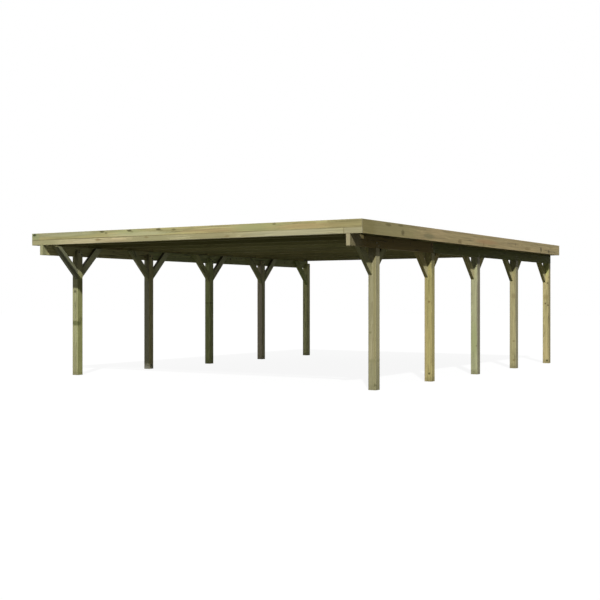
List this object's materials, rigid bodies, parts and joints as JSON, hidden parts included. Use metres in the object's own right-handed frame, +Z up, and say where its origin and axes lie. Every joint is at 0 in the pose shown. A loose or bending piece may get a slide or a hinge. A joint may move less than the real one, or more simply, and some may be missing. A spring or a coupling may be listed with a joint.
{
  "type": "open double carport",
  "caption": "Free-standing flat-roofed double carport: two rows of braced timber posts carry beams, rafters and ribbed roof sheets inside a boarded edge.",
  "frame": {"origin": "on the ground, under the middle of the roof", "axes": "+Z up, +Y from the front (open drive-in side) to the rear along the post rows, +X to the right"},
  "size_m": [6.076, 8.19, 2.328],
  "materials": {
    "post_timber": "planed pressure-treated pine, yellow-green, matt",
    "frame_timber": "planed pressure-treated pine, olive, matt",
    "edge_board": "planed pressure-treated pine boards, pale yellow-green with knots, matt",
    "roof_sheet": "extruded ribbed vinyl sheet, dark grey, satin"
  },
  "bodies": {
    "root": {"left_post_1": "post_timber", "left_post_2": "post_timber", "left_post_3": "post_timber", "left_post_4": "post_timber", "left_post_5": "post_timber", "right_post_1": "post_timber", "right_post_2": "post_timber", "right_post_3": "post_timber", "right_post_4": "post_timber", "right_post_5": "post_timber", "left_braces_1": "frame_timber", "left_braces_2": "frame_timber", "left_braces_3": "frame_timber", "left_braces_4": "frame_timber", "left_braces_5": "frame_timber", "right_braces_1": "frame_timber", "right_braces_2": "frame_timber", "right_braces_3": "frame_timber", "right_braces_4": "frame_timber", "right_braces_5": "frame_timber", "left_front_beam": "frame_timber", "left_rear_beam": "frame_timber", "right_front_beam": "frame_timber", "right_rear_beam": "frame_timber", "rafter_1": "frame_timber", "rafter_2": "frame_timber", "rafter_3": "frame_timber", "rafter_4": "frame_timber", "rafter_5": "frame_timber", "rafter_6": "frame_timber", "rafter_7": "frame_timber", "rafter_8": "frame_timber", "rafter_9": "frame_timber", "rafter_10": "frame_timber", "roof_sheet_1": "roof_sheet", "roof_sheet_2": "roof_sheet", "roof_sheet_3": "roof_sheet", "roof_sheet_4": "roof_sheet", "roof_sheet_5": "roof_sheet", "roof_sheet_6": "roof_sheet", "front_backing": "frame_timber", "front_upper_board": "edge_board", "front_lower_boards": "edge_board", "rear_upper_board": "edge_board", "rear_lower_board": "edge_board", "left_board": "edge_board", "right_board": "edge_board"}
  },
  "joints": []
}
